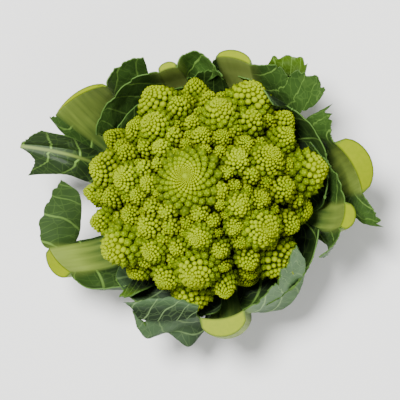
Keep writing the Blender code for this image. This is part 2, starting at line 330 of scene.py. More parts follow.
# %% Florets
FLORET_OUTLINE = [
    (0.58, -0.5), (0.76, -0.28), (0.8, 0.0), (0.72, 0.4), (0.52, 0.8), (0.26, 1.14), (0.0, 1.36)
]
LARGE_SPACINGS = (0.06, 0.33, 0)
SMALL_SPACINGS = (0.11, 0.37, 0)
SPRIG_SPACINGS = (0.18, 0.42, 0)
BUD_FILL = 0.56
KINDS_OF_FLORET = 4


def floret_body(outline, inset, steps, smooth_radius):
    """The turned body under the buds, in a fresh bmesh, so that what is added later is always last. It comes
    out flush with the buds at the smooth tip."""
    curve = [along([Vector(point) for point in outline], k / 16) for k in range(17)]
    slim = []
    for point in curve:
        sunk = inset * ease(point.x / smooth_radius / 2)
        slim.append((max(point.x - sunk, 0), point.y - sunk / 2))
    body = kept_mesh(turned([(0, outline[0][1] - 0.8), (0.32, outline[0][1] - 0.5)] + slim, steps), "body")
    bm = bmesh.new()
    bm.from_mesh(body)
    top = outline[-1][1]
    mark(bm, "rise", lambda vert: 0.45 * ease(2 - vert.co.xy.length / smooth_radius) * (vert.co.z > top / 2))
    return bm


def floret_mesh(name, outline, spacings, divided_above, smallest_ring, chance):
    """A floret one unit wide from its middle. Buds with a spacing above divided_above carry beads."""
    bm = floret_body(outline, 0.02, 14, smallest_ring)
    for azimuth, point, normal, spacing in spiral_places(outline, spacings, smallest_ring):
        unit = BUD if spacing > divided_above else BEAD
        width = spacing * BUD_FILL * chance.uniform(0.84, 1.14)
        lean = 0.4 + chance.uniform(-0.15, 0.15)
        azimuth += chance.uniform(-0.17, 0.17) * spacing / point.x
        set_upon(bm, unit, azimuth, point, normal, width, lean, chance.uniform(0, TURN))
    # "reach" grows from the floret's foot to its tip; the skin paints the foot in shade.
    mark(bm, "reach", lambda vert: min(max((vert.co.z + 0.75) / 2.1, 0), 1))
    return kept_mesh(bm, name)


def floret_kinds(spacings, divided_above, smallest_ring, foot_height):
    """A few florets alike but for their buds and how steep they are."""
    chance = random.Random(SEED)
    kinds = []
    for kind in range(KINDS_OF_FLORET):
        steep = 0.92 + 0.06 * kind
        outline = [(radius, height * steep) for radius, height in FLORET_OUTLINE if height > foot_height]
        coarser = [share * (0.94 + 0.06 * kind) for share in spacings]
        kinds.append(floret_mesh(f"floret_{kind}", outline, coarser, divided_above, smallest_ring, chance))
    return kinds


large_florets = floret_kinds(LARGE_SPACINGS, divided_above=0.27, smallest_ring=0.1, foot_height=-1)
small_florets = floret_kinds(SMALL_SPACINGS, divided_above=0.38, smallest_ring=0.15, foot_height=-0.3)
sprigs = floret_kinds(SPRIG_SPACINGS, divided_above=1, smallest_ring=0.22, foot_height=-0.3)
for title, kinds in (("Large floret", large_florets), ("Small floret", small_florets), ("Sprig", sprigs)):
    print(title, len(kinds[0].polygons), "faces")

# %% [markdown]
# The florets stand on a dome, part ellipse and part cone, by the same rule once more. The places repeat
# those of the imported curd draw by draw, so the fine curd fills the same space. On a real head some florets
# get ahead of the rule and others stay behind, and small ones grow in the gaps, tucked in where they see
# less light; those left behind and the tucked ones are painted darker and greener, as shade. The florets
# are gathered into spiral arms, which keeps each piece light enough to handle.

# %% The dome of florets
CURD_ARMS = 8
GAP_STEPS = 10
GAP_TURN = 0.067
TUCKED_SHARE = (0.42, 0.7)
TUCKED_DEPTH = -0.15
# These two factors scale the reach of the tucked florets and of those left behind, painting them in shade.
TUCKED_PAINTED_LIGHTNESS = 0.78
PASSED_PAINTED_LIGHTNESS = 0.9
LEVEL = math.radians(85)


def dome_point(angle):
    """(radius, height) of the dome at an angle from its tip, in mm."""
    cone = 1 - 2 * angle / math.pi
    height = DOME_ROUNDNESS * math.cos(angle) + (1 - DOME_ROUNDNESS) * cone
    return DOME_RADIUS * math.sin(angle), DOME_SHOULDER_Z + DOME_RISE * height


def floret_places():
    places = []
    azimuth, climbed, angle = FIRST_FLORET_AZIMUTH, 0.0, DOME_LOWEST_ANGLE
    fine = math.radians(0.1)
    while dome_point(angle)[0] > SMALLEST_FLORET_RING:
        radius, height = dome_point(angle)
        if climbed >= FLORET_STEP * len(places):
            places.append((azimuth, angle))
            azimuth += GOLDEN_ANGLE
        higher = dome_point(angle - fine)
        climbed += math.hypot(higher[0] - radius, higher[1] - height) / radius
        angle -= fine
    return places


def dome_frame(azimuth, angle):
    """The floret's foot and the way it points, leaning up from the dome's normal."""
    radius, height = dome_point(angle)
    lower = dome_point(angle + 0.01)
    slope = math.atan2(lower[0] - radius, height - lower[1])
    out = math.cos(slope)
    normal = Vector((out * math.cos(azimuth), out * math.sin(azimuth), math.sin(slope)))
    foot = Vector((radius * math.cos(azimuth), radius * math.sin(azimuth) * DOME_DEPTH_SHARE, height)) * MM
    return foot, (normal + Vector((0, 0, FLORET_UPWARD_LEAN))).normalized()


def put_in_scene(name, data):
    made = bpy.data.objects.new(name, data)
    bpy.context.scene.collection.objects.link(made)
    return made


def show(name, bm, material, node):
    """Puts a finished form in the scene as a piece that rides on the body and stands for a node."""
    mesh = kept_mesh(bm, name)
    mesh.materials.append(material)
    mesh.shade_smooth()
    print(name + ":", len(mesh.polygons), "faces")
    piece = put_in_scene(name, mesh)
    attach(piece, "root")
    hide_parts(node)
    return piece


def floret_matrix(azimuth, angle, chance):
    """The place, tilt, turn and size of a floret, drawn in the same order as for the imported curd."""
    foot, way = dome_frame(azimuth, angle)
    width = FLORET_SHARE * dome_point(angle)[0] * chance.uniform(1 - FLORET_UNEVENNESS, 1 + FLORET_UNEVENNESS)
    tilt = Vector((chance.uniform(-1, 1), chance.uniform(-1, 1), chance.uniform(-1, 1))) * FLORET_TILT
    turn = (way + tilt).to_track_quat("Z", "Y").to_matrix().to_4x4()
    spin = Matrix.Rotation(chance.uniform(0, TURN), 4, "Z")
    return Matrix.Translation(foot) @ turn @ spin @ Matrix.Scale(width * MM, 4), width


def own_growth(chance, number, angle):
    """How much plumper and taller a floret has grown than the rule says. Every third one got ahead of its
    neighbours, and the lowest stay short."""
    lowness = ease((angle - LEVEL) / 0.35)
    if number % 3 == 0:
        plump = chance.uniform(1.2, 1.4) * between((1, 0.78), lowness)
        tall = chance.uniform(1.25, 1.5)
    else:
        plump = chance.uniform(0.72, 0.98)
        tall = chance.uniform(0.78, 1.1)
    return plump, tall * between((1, 0.6), lowness)


def kinds_for(width):
    if width < SMALL_FLORET:
        return sprigs
    return small_florets if width < LARGE_FLORET else large_florets


def add_floret(arm, mesh, matrix, painted_lightness):
    """Adds a placed floret. A factor below one scales its reach down, which paints it greener and darker, as
    shade.
    """
    added = add_copy(arm, mesh, matrix)
    reach = arm.verts.layers.float["reach"]
    for vert in added:
        vert[reach] *= painted_lightness


def build_curd():
    arms = [bmesh.new() for _ in range(CURD_ARMS)]
    chance, growth = random.Random(SEED), random.Random(SEED + 2)
    places = floret_places()
    for number, (azimuth, angle) in enumerate(places):
        matrix, width = floret_matrix(azimuth, angle, chance)
        plump, tall = own_growth(growth, number, angle)
        mesh = kinds_for(width * plump)[number % KINDS_OF_FLORET]
        shape = Matrix.Diagonal((plump, plump, tall, 1))
        painted_lightness = 1.0 if number % 3 == 0 else PASSED_PAINTED_LIGHTNESS
        add_floret(arms[number % CURD_ARMS], mesh, matrix @ shape, painted_lightness)
    for number in range(len(places) - GAP_STEPS - 1):
        angle = (places[number + GAP_STEPS][1] + places[number + GAP_STEPS + 1][1]) / 2
        azimuth = places[number][0] + GAP_TURN
        matrix, width = floret_matrix(azimuth, angle, growth)
        share = growth.uniform(*TUCKED_SHARE)
        if width > SMALL_FLORET:
            mesh = kinds_for(width * share)[number % KINDS_OF_FLORET]
            sunk = Matrix.Translation((0, 0, TUCKED_DEPTH)) @ Matrix.Scale(share, 4)
            add_floret(arms[number % CURD_ARMS], mesh, matrix @ sunk, TUCKED_PAINTED_LIGHTNESS)
    for number, arm in enumerate(arms, 1):
        show(f"curd_arm_{number}", arm, curd_material, "curd")


build_curd()

# %% [markdown]
# The growing tip is the one cone in the middle, where the spiral has not yet broken up into florets. Its
# buds shrink evenly to nothing, and it is the part that the eye goes to first.

# %% The growing tip
TIP_OUTLINE = [
    (18.4, -4), (18.6, 0), (17.2, 4.6), (14.3, 9), (10.9, 12.7), (7.3, 15.6), (3.6, 17.9), (0, 19.2)
]
TIP_SPACINGS = (0.15, 0.15, 0.013)
TIP_DIVIDED_ABOVE = 2.7
TIP_SMOOTH_RADIUS = 1.7


def build_tip():
    bm = floret_body(TIP_OUTLINE, 0.5, 40, TIP_SMOOTH_RADIUS)
    chance = random.Random(SEED + 1)
    for azimuth, point, normal, spacing in spiral_places(TIP_OUTLINE, TIP_SPACINGS, TIP_SMOOTH_RADIUS):
        unit = BUD if spacing > TIP_DIVIDED_ABOVE else BEAD
        width = spacing * BUD_FILL * chance.uniform(0.88, 1.1)
        azimuth += chance.uniform(-0.1, 0.1) * spacing / point.x
        set_upon(bm, unit, azimuth, point, normal, width, 0.6, chance.uniform(0, TURN))
    # "reach" grows up the tip's cone; the skin paints its lower buds in shade.
    mark(bm, "reach", lambda vert: min(max((vert.co.z + 10) / 30, 0), 1))
    lift = Matrix.Translation((0, 0, (APEX_TOP_Z - 20) * MM)) @ Matrix.Scale(MM, 4)
    bmesh.ops.transform(bm, matrix=lift, verts=bm.verts)
    show("curd_tip", bm, curd_material, "curd")


build_tip()

# %% [markdown]
# Under the florets a real head is a tree of thick pale branches. Only slivers of it show, between the
# florets and from below, so the inner part is one turned core, and a branch runs out along it to each low
# floret. Core and branches take the curd's darkest crevice and root greens: painted shade.

# %% The core and its branches
CORE_STEPS = 48
BRANCH_SIDES = 12
BRANCH_RADIUS = 5.5
BRANCH_FOOT_RADIUS = BRANCH_RADIUS * 1.3
BRANCH_FOOT_OUT = 14.0
BRANCH_FOOT_Z = 50.0
BRANCHED_ABOVE = math.radians(70)


def build_core():
    bm = turned([(0, CORE_PROFILE[0][1])] + CORE_PROFILE, CORE_STEPS)
    widths = {"radius1": BRANCH_FOOT_RADIUS, "radius2": BRANCH_RADIUS}
    for azimuth, angle in floret_places():
        if angle < BRANCHED_ABOVE:
            continue
        foot, way = dome_frame(azimuth, angle)
        outward = Vector((math.cos(azimuth), math.sin(azimuth), 0))
        root = outward * BRANCH_FOOT_OUT + Vector((0, 0, BRANCH_FOOT_Z))
        span = foot / MM - root
        made = bmesh.ops.create_cone(bm, cap_ends=True, segments=BRANCH_SIDES, depth=span.length, **widths)
        turn = span.to_track_quat("Z", "Y").to_matrix().to_4x4()
        middle = Matrix.Translation(root + span / 2)
        bmesh.ops.transform(bm, matrix=middle @ turn, verts=made["verts"])
    # The core takes the skin's crevice and root greens: painted shade, where the real branches are pale.
    mark(bm, "rise", lambda vert: 0.1)
    mark(bm, "reach", lambda vert: 0)
    bmesh.ops.scale(bm, vec=(MM, MM, MM), verts=bm.verts)
    show("curd_core", bm, curd_material, "curd")


build_core()

# %% [markdown]
# The leaves wrapped the curd until they were cropped. Each is described as the imported solids describe it:
# the rib's line from the stem to the cut, and the free edge of either half blade, as (azimuth, radius,
# height). The rib's half width and thickness are given at its two ends, and "starts" says how far up it the
# half blades begin. A blade bows out and up by its "bow", and the rib's edges are turned by its "twist".
# The rest is looks: how deep the edge's "lobes" are, how "pale" the rib gets and from where, which is partly
# its own paling and partly painted light and shade, how "open" the leaf lies to the light, which sets its
# painted shade, the "tones" of its half blades, and the half width of a "slender" rib.

# %% The eight leaves
WING_WIDTH = 1.5
BOW_POWER = 0.7
RIB_TROUGH = Vector((0, -0.12, 0.04))
LEAVES = {
    "leaf_1": {
        "rib": [(8, 14, 16), (8, 48, 20), (8, 82, 42), (8, 93, 62), (7, 99, 79)],
        "half_width": (11.5, 16.5), "thickness": (11, 13), "starts": (0.45, 0.45),
        "left": [(27, 82, 46), (36, 80, 63), (31, 101, 84)], "left_bow": (-3, 0),
        "right": [(353, 92, 46), (348, 105, 56), (347.5, 119, 69)], "right_bow": (0, -3),
        "twist": (-6, 8),
    },
    "leaf_2": {
        "rib": [(144, 14, 16), (144, 48, 20), (143, 82, 40), (142, 96, 60), (141, 105, 82)],
        "half_width": (12.5, 18.5), "thickness": (11, 4), "starts": (0.5, 0.5),
        "left": [(157, 90, 45), (156, 105, 61), (152.5, 117, 77)],
        "right": [(123, 84, 48), (115, 90, 64), (112, 97, 87)], "right_bow": (5, 0),
        "twist": (10, -5), "pale": 0.3, "lobes": 0.06,
    },
    "leaf_3": {
        "rib": [(279, 14, 18), (279, 48, 22), (279, 76, 36), (279, 83, 54), (279, 83, 72)],
        "half_width": (12, 15), "thickness": (11, 12), "starts": (0.42, 0.42),
        "left": [(302, 88, 46), (321, 85, 66), (331, 72, 106)], "left_bow": (1, 4),
        "right": [(262.5, 99.6, 50), (252.1, 95.0, 56), (243.8, 102.0, 57), (236.5, 89, 68)],
        "right_bow": (-6, 8), "lobes": 0.11, "tones": (1.6, 0.95),
    },
    "leaf_4": {
        "rib": [(73, 14, 16), (73, 48, 20), (73, 74, 40), (74, 83, 66), (74, 87, 90)],
        "half_width": (11.5, 12), "thickness": (11, 6), "starts": (0.4, 0.4),
        "left": [(87, 74, 46), (86, 82, 64), (84, 84, 84)],
        "right": [(52, 72, 44), (38, 84, 60), (38, 109, 80)], "right_bow": (1, 0),
        "lobes": 0.2, "pale": 0.85, "pale_from": 0.2,
    },
    "leaf_5": {
        "rib": [(205, 14, 20), (205, 48, 24), (205, 80, 38), (204, 97, 54), (203.5, 107, 68)],
        "half_width": (13, 10.5), "thickness": (11, 10), "starts": (0.45, 0.7),
        "left": [(219, 76, 40), (227, 80, 48), (227, 79, 60)], "left_bow": (6, -3),
        "right": [(192, 87, 60), (180, 80, 80), (174.5, 91, 91)], "right_bow": (9, -2),
        "twist": (-3.5, -2), "lobes": 0.05, "pale": 0.58, "tones": (0.75, 0.78),
    },
    "leaf_6": {
        "rib": [(350, 14, 33), (350, 46, 35), (349, 73, 46), (348, 86, 62), (348, 94, 82)],
        "half_width": (12, 8.5), "thickness": (10, 8), "starts": (0.45, 0.45),
        "left": [(3, 80, 52), (13, 78, 70), (20, 76, 98)], "left_bow": (2, 3),
        "right": [(337, 84, 50), (331, 90, 64), (329, 87, 82)], "right_bow": (3, 0),
    },
    "leaf_7": {
        "rib": [(105, 14, 33), (105, 46, 34), (105, 71, 43), (104.5, 80, 64), (104, 81, 91)],
        "half_width": (12, 6.5), "thickness": (10, 5), "starts": (0.42, 0.42),
        "left": [(126, 78, 46), (147, 80, 54), (151, 85, 72)], "left_bow": (5, 2),
        "right": [(93, 75, 56), (83, 75, 76), (76, 72, 94)], "right_bow": (12, 0),
        "pale": 1.0, "tones": (1, 1.6), "pale_from": 0.2,
    },
    "leaf_8": {
        "rib": [(166, 14, 33), (164, 46, 35), (162, 74, 46), (162, 96, 64), (164, 130, 72)],
        "half_width": (11, 1.3), "thickness": (9, 3), "starts": (0.4, 0.4),
        "left": [(171, 82, 50), (170, 98, 62), (172, 126, 58)], "left_bow": (-8, 0),
        "right": [(156, 82, 52), (156, 98, 72), (158, 117, 79)], "right_bow": (0, 2),
        "slender": 0.4, "pale": 0.3, "open": 0.5, "lobes": 0.05, "tones": (0.72, 0.68),
    },
}


def near(azimuth, other):
    return azimuth + 360 * round((other - azimuth) / 360)


def leaf_point(leaf, side, across, share):
    """(azimuth, radius, height) on the leaf's inner face. across is 0 on the rib's middle, 1 at the rib's
    edge and 2 at the blade's free edge, and side is 1 to the left and -1 to the right."""
    rib = along([Vector(point) for point in leaf["rib"]], share)
    half = between(leaf["half_width"], share)
    if across <= 1:
        to_edge = Vector((side * math.degrees(half * across / rib.y), 0, 0))
        twist = Vector((0, *leaf.get("twist", (0, 0)))) * side * across * share**2
        return rib + to_edge + twist + RIB_TROUGH * half * across**2
    name = "left" if side > 0 else "right"
    start = leaf["starts"][0 if side > 0 else 1]
    wing = Vector((side * math.degrees(WING_WIDTH / rib.y), 0, 0))
    rib_edge = leaf_point(leaf, side, 1, share)
    edge = [leaf_point(leaf, side, 1, start) + wing]
    edge += [Vector((near(azimuth, rib.x), *rest)) for azimuth, *rest in leaf[name]]
    reached = max(share - start, 0) / (1 - start)
    free = along(edge, reached) if share > start else rib_edge + wing
    width = across - 1
    swell = math.sin(math.pi * width**BOW_POWER) * ease(reached) ** 2
    return rib_edge.lerp(free, width) + Vector((0, *leaf.get(name + "_bow", (0, 0)))) * swell


def to_space(point):
    azimuth = math.radians(point.x)
    return Vector((point.y * math.cos(azimuth), point.y * math.sin(azimuth), point.z)) * MM


# %% [markdown]
# A cabbage-family leaf is dark blue-green above, with a paler net of veins, and its underside is grey with
# wax, which scatters the light and looks matt and milky. The rib is full of water and nearly white at its
# cut end; its green lower down is partly painted shade of the curd, and its whitest tone partly painted
# light.
# A scrap of young leaf is brighter than either side. The sizes of the patterns are in millimetres.

# %% Leaf colours
# The deepest green is painted shade, mixed in where little light reaches a leaf.
LEAF_DEEP_SHADE = linear("#10200A")
LEAF_DARK = linear("#233C14")
LEAF_LIGHT = linear("#3D5A22")
LEAF_VEIN = linear("#6F9440")
# The rib's green holds painted shade from the curd, and its white holds painted light.
RIB_GREEN_AND_SHADE = linear("#354C1C")
RIB_PALE = linear("#82963E")
RIB_WHITE_AND_LIGHT = linear("#A3B65C")
WAX_SHADE = linear("#2D4424")
WAX_BLOOM = linear("#4D6744")
WAX_VEIN = linear("#6C8752")
YOUNG_DARK = linear("#334E06")
YOUNG_LIGHT = linear("#4E6E0A")
CUT_FLESH = linear("#869204")
CUT_PITH = linear("#738503")
CUT_SKIN = linear("#3D520C")
LEAF_EDGE = linear("#49672C")
TISSUE_CLOUD = 12.0
NET_CELL = 9.0
FIBRE_WIDTH = 3.0
FLESH_MOTTLE = 2.5

# %% [markdown]
# The mesh carries what the shader needs, as numbers on its vertices. "rib" is 1 on the rib, "outward" grows
# as the rib pales towards its cut, partly its own paling and partly painted shade and light, and "open" as
# more
# light reaches the blade: below one it paints the blade in shade. "lateral" and "crossing" count the side
# veins and the veins between them: a vein runs wherever the count passes a half, so it stays sharp on a
# coarse mesh. "vigour" thins the veins towards the edge, and "tone" lightens or darkens one half blade.

# %% Veins and tissue
LEAF_NUMBERS = ("rib", "outward", "open", "lateral", "crossing", "vigour", "tone", "pith")


def vein_lines(skin, count, half):
    """1 along the lines where a count passes a half, and 0 between them."""
    part = add_node(skin, "Math", {0: count}, operation="FRACT")
    off = add_node(skin, "Math", {0: part, 1: 0.5}, operation="SUBTRACT")
    away = add_node(skin, "Math", {0: off}, operation="ABSOLUTE")
    fading = {"From Min": half * 0.4, "From Max": half, "To Min": 1, "To Max": 0, "Value": away}
    return add_node(skin, "MapRange", fading, interpolation_type="SMOOTHSTEP")


def leaf_veins(skin, seen, place):
    """Side veins, fainter crossing veins and a fine net, and none of them on the rib."""
    laterals = vein_lines(skin, seen["lateral"], 0.055)
    crossings = vein_lines(skin, seen["crossing"], 0.05)
    veins = add_node(skin, "Math", {0: laterals, 1: seen["vigour"]}, operation="MULTIPLY")
    fainter = add_node(skin, "Math", {0: crossings, 1: 0.22}, operation="MULTIPLY")
    cells = {"Scale": 1 / (NET_CELL * MM), "Vector": place}
    net = add_node(skin, "TexVoronoi", cells, feature="DISTANCE_TO_EDGE")
    fading = {"From Min": 0.0, "From Max": 0.05, "To Min": 0.15, "To Max": 0, "Value": net}
    fine = add_node(skin, "MapRange", fading, interpolation_type="SMOOTHSTEP")
    for others in (fainter, fine):
        veins = add_node(skin, "Math", {0: veins, 1: others}, operation="MAXIMUM")
    off_rib = add_node(skin, "Math", {0: 1, 1: seen["rib"]}, operation="SUBTRACT")
    return add_node(skin, "Math", {0: veins, 1: off_rib}, operation="MULTIPLY")


def leaf_tissue(skin, seen, place, dark, light):
    """The green between the veins, in soft clouds, mixed towards nearly black-green, painted shade, where no
    light comes.
    """
    clouds = add_node(skin, "TexNoise", {"Scale": 1 / (TISSUE_CLOUD * MM), "Detail": 4, "Vector": place})
    green = add_node(skin, "Mix", {"Factor": clouds, "A": dark, "B": light}, data_type="RGBA")
    return add_node(skin, "Mix", {"Factor": seen["open"], "A": LEAF_DEEP_SHADE, "B": green}, data_type="RGBA")


def rib_colour(skin, seen):
    """Green at the stem and pale at the cut, partly the rib's own colour and partly painted shade below and
    painted light above, with fibres drawn out along the rib.
    """
    flat = add_node(skin, "UVMap", uv_map="flat")
    drawn = add_node(skin, "Mapping", {"Scale": (1, 0.06, 1), "Vector": flat})
    fibres = add_node(skin, "TexNoise", {"Scale": 1 / (FIBRE_WIDTH * MM), "Detail": 4, "Vector": drawn})
    streaks = {"From Min": 0.3, "From Max": 0.7, "To Min": -0.11, "To Max": 0.11, "Value": fibres}
    streaked = add_node(skin, "MapRange", streaks)
    paling = add_node(skin, "Math", {0: seen["outward"], 1: streaked}, operation="ADD", use_clamp=True)
    colour = add_node(skin, "ValToRGB", {"Fac": paling})
    colour.color_ramp.elements[0].color = RIB_GREEN_AND_SHADE
    colour.color_ramp.elements[1].color = RIB_WHITE_AND_LIGHT
    colour.color_ramp.elements.new(0.5).color = RIB_PALE
    return colour


# %% [markdown]
# One function paints all three sides, because only their colours and their shine differ. The veins also
# stand out a little, so the light catches them. The cut shows the stalk's inside, which is wet and even.

# %% The sides of a leaf
def leaf_face(name, dark, light, vein, roughness, ior):
    skin, shader = new_material(name, {"Roughness": roughness, "IOR": ior, "Specular IOR Level": 0.3})
    place = add_node(skin, "TexCoord").outputs["Object"]
    seen = {key: add_node(skin, "Attribute", attribute_name=key).outputs["Fac"] for key in LEAF_NUMBERS}
    tissue = leaf_tissue(skin, seen, place, dark, light)
    veins = leaf_veins(skin, seen, place)
    pale = rib_colour(skin, seen)
    veined = add_node(skin, "Mix", {"Factor": veins, "A": tissue, "B": vein}, data_type="RGBA")
    ribbed = add_node(skin, "Mix", {"Factor": seen["rib"], "A": veined, "B": pale}, data_type="RGBA")
    toned = add_node(skin, "HueSaturation", {"Color": ribbed, "Value": seen["tone"]})
    bump = add_node(skin, "Bump", {"Strength": 0.35, "Distance": 0.4 * MM, "Height": veins})
    fill(shader, {"Base Color": toned, "Normal": bump})
    return skin


def cut_flesh():
    """Fresh cut stalk: moist, pale and even, with a faint mottle of water vessels, and a green skin round it,
    outside of where "pith" is 1. The thin blade's cut edge is as green as the blade."""
    cut, shader = new_material("fresh_cut_stalk", {"Roughness": 0.5, "IOR": 1.36, "Specular IOR Level": 0.15})
    place = add_node(cut, "TexCoord").outputs["Object"]
    mottle = add_node(cut, "TexNoise", {"Scale": 1 / (FLESH_MOTTLE * MM), "Detail": 3, "Vector": place})
    colour = add_node(cut, "Mix", {"Factor": mottle, "A": CUT_PITH, "B": CUT_FLESH}, data_type="RGBA")
    for key, outside in (("pith", CUT_SKIN), ("rib", LEAF_EDGE)):
        within = add_node(cut, "Attribute", attribute_name=key).outputs["Fac"]
        colour = add_node(cut, "Mix", {"Factor": within, "A": outside, "B": colour}, data_type="RGBA")
    fill(shader, {"Base Color": colour})
    return cut


upper_side = leaf_face("leaf_upper_side", LEAF_DARK, LEAF_LIGHT, LEAF_VEIN, roughness=0.52, ior=1.42)
waxy_side = leaf_face("waxy_leaf_underside", WAX_SHADE, WAX_BLOOM, WAX_VEIN, roughness=0.65, ior=1.4)
young_side = leaf_face("young_leaf_side", YOUNG_DARK, YOUNG_LIGHT, LEAF_VEIN, roughness=0.5, ior=1.42)
flesh = cut_flesh()
print("Leaf finishes:", ", ".join(finish.name for finish in (upper_side, waxy_side, young_side, flesh)))

# %% [markdown]
# A leaf starts as a flat grid, and its columns and rows are laid on the measured lines. Its edge has lobes
# and teeth, so every row and column ends at a length of its own. How far each vertex lies from the rib and
# up it is kept in millimetres: the veins are counted by it, and the UV map, in metres, keeps the fibres at
# one size.

# %% A leaf laid flat
RIB_CELLS = 6
BLADE_CELLS = 34
MIDDLE_COLUMN = RIB_CELLS + BLADE_CELLS
LEAF_ROWS = 74
LOBE_DEPTH = 0.12


def leaf_grid(columns, rows):
    """A flat grid one unit wide and its layers for the leaf's numbers."""
    bm = bmesh.new()
    layers = {key: bm.verts.layers.float.new(key) for key in LEAF_NUMBERS}
    bm.loops.layers.uv.new("flat")
    bmesh.ops.create_grid(bm, x_segments=columns, y_segments=rows, size=0.5)
    return bm, layers


def wobble(shift, x, y, z):
    """Smooth noise that is a leaf's own, because each leaf has its own shift."""
    return noise.noise(Vector((x, y, z)) + shift)


def grid_place(vert):
    return round((vert.co.x + 0.5) * 2 * MIDDLE_COLUMN), round((vert.co.y + 0.5) * LEAF_ROWS)


def across_of(step):
    return step / RIB_CELLS if step <= RIB_CELLS else 1 + (step - RIB_CELLS) / BLADE_CELLS


def notched(leaf, side, wide, share, shift):
    """A place of the blade, drawn in by the lobes and teeth of its two free edges."""
    depth = leaf.get("lobes", LOBE_DEPTH)
    lobe = wobble(shift, share * 5, side * 3, 0)
    tooth = wobble(shift, share * 26, side * 3, 2)
    wide = 1 + (wide - 1) * (1 - depth * (abs(lobe) + 0.38 * abs(tooth)))
    lobe = wobble(shift, wide * 5, side * 9, 4)
    tooth = wobble(shift, wide * 19, side * 9, 6)
    return wide, share * (1 - depth * (abs(lobe) + 0.4 * abs(tooth)) * ease((wide - 1) / 0.2) * share**3)


def flat_lengths(spots):
    """For each (column, row), its distance in mm from the rib's middle along the row, and up the rib."""
    flat = {}
    up = 0.0
    for row in range(LEAF_ROWS + 1):
        if row:
            up += (spots[MIDDLE_COLUMN, row] - spots[MIDDLE_COLUMN, row - 1]).length / MM
        flat[MIDDLE_COLUMN, row] = (0.0, up)
        for side in (1, -1):
            out = 0.0
            for step in range(1, MIDDLE_COLUMN + 1):
                here, last = (MIDDLE_COLUMN + side * step, row), (MIDDLE_COLUMN + side * (step - 1), row)
                out += (spots[here] - spots[last]).length / MM
                flat[here] = (side * out, up)
    return flat


def lay_flat(bm, flat):
    """Fills the UV map from each vertex's place in mm on the leaf laid flat."""
    uv = bm.loops.layers.uv["flat"]
    for face in bm.faces:
        for loop in face.loops:
            u, v = flat[loop.vert.index]
            loop[uv].uv = (u * MM, v * MM)


# %% [markdown]
# A blade is never flat: it is ruffled between its veins, and pressed in along them. On the real leaf the
# side veins leave the rib about 19 mm apart and curve forward, and smaller ones join them every 8 mm.

# %% Numbers and relief of a leaf
VEIN_SPACING = 19.0
CROSSING_SPACING = 8.0
RUFFLE = 1.6
PUCKER = 0.35
VEIN_GROOVE = 0.35
WIDER_THAN_ANY = 99


def leaf_numbers(leaf, side, wide, share, u, v, shift):
    """What the shader needs to know of a place on the leaf, u mm out from the rib's middle and v mm up it."""
    slender = leaf.get("slender", WIDER_THAN_ANY)
    out = max(abs(u) - min(between(leaf["half_width"], share), slender), 0)
    warp = wobble(shift, u * 0.03, v * 0.03, 0)
    return {
        "rib": (1 - ease((wide - 0.8) / 0.35)) * (1 - ease(max(0, abs(u) - slender) / 1.2)),
        # "outward" pales the rib towards its cut: its own paling, with painted shade lower down and painted
        # light at the top.
        "outward": leaf.get("pale", 0.4) * ease((share - leaf.get("pale_from", 0.4)) / 0.5),
        # "open" below one mixes in the deepest green: painted shade on the lower blade.
        "open": leaf.get("open", 1) * (0.25 + 0.75 * ease((share - 0.5) / 0.4)),
        "lateral": (v - 0.55 * out - 0.011 * out * out) / VEIN_SPACING + 0.2 * warp,
        "crossing": (abs(u) + 0.5 * v) / CROSSING_SPACING + 0.8 * warp,
        "vigour": 1 - 0.6 * ease(wide - 1),
        "tone": leaf.get("tones", (1, 1))[0 if side > 0 else 1] if wide > 1 else 1,
    }


def leaf_relief(wide, u, v, lateral, shift):
    """How far in mm a place of the leaf stands out from its smooth form."""
    groove = max(0, 1 - abs(lateral % 1 - 0.5) / 0.09) * ease((wide - 1) / 0.1)
    ruffle = wobble(shift, u * 0.05, v * 0.05, 7) * ease((wide - 1.1) / 0.5)
    pucker = wobble(shift, u * 0.22, v * 0.22, 3) * ease((wide - 1) / 0.2)
    return RUFFLE * ruffle + PUCKER * pucker - VEIN_GROOVE * groove


# %% [markdown]
# A Solidify modifier gives the leaf its thickness: much along the rib, little in the blade. It also gives
# the underside and the cut rim finishes of their own. The result becomes the mesh itself, so that its edges
# can be crisp, and an inset on the stalk's cut face leaves a rim of skin round the pith.

# %% The wall of a leaf
BLADE_THICKNESS = 0.8
CUT_SKIN_FROM = 3.2
CUT_SKIN_WIDTH = 1.3


def face_height(face):
    return max(edge.calc_length() for edge in face.edges)


def skin_round_cuts(bm):
    pith = bm.verts.layers.float["pith"]
    cuts = [face for face in bm.faces if face.material_index == 2 and face_height(face) > CUT_SKIN_FROM * MM]
    if cuts:
        bmesh.ops.inset_region(bm, faces=cuts, thickness=CUT_SKIN_WIDTH * MM, depth=0, use_even_offset=True)
    for face in cuts:
        for vert in face.verts:
            vert[pith] = 1


def give_wall(piece, underside, thickest, weights=None):
    """Gives a thin piece its wall, thickest mm thick times each vertex's weight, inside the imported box."""
    piece.data.materials.append(underside)
    piece.data.materials.append(flesh)
    wall = piece.modifiers.new("wall", "SOLIDIFY")
    wall.thickness = thickest * MM
    wall.offset = -1
    wall.material_offset = 1
    wall.material_offset_rim = 2
    if weights:
        group = piece.vertex_groups.new(name="flesh")
        for index, weight in enumerate(weights):
            group.add([index], weight, "REPLACE")
        wall.vertex_group = "flesh"
    seen = piece.evaluated_get(bpy.context.evaluated_depsgraph_get())
    mesh = bpy.data.meshes.new_from_object(seen)
    piece.modifiers.clear()
    piece.vertex_groups.clear()
    bm = bmesh.new()
    bm.from_mesh(mesh)
    skin_round_cuts(bm)
    for vert in bm.verts:
        vert.co = [min(max(value, low), high) for value, low, high in zip(vert.co, cad_low, cad_high)]
    bm.to_mesh(mesh)
    bm.free()
    mesh.set_sharp_from_angle(angle=math.radians(45))
    piece.data = mesh
    return piece


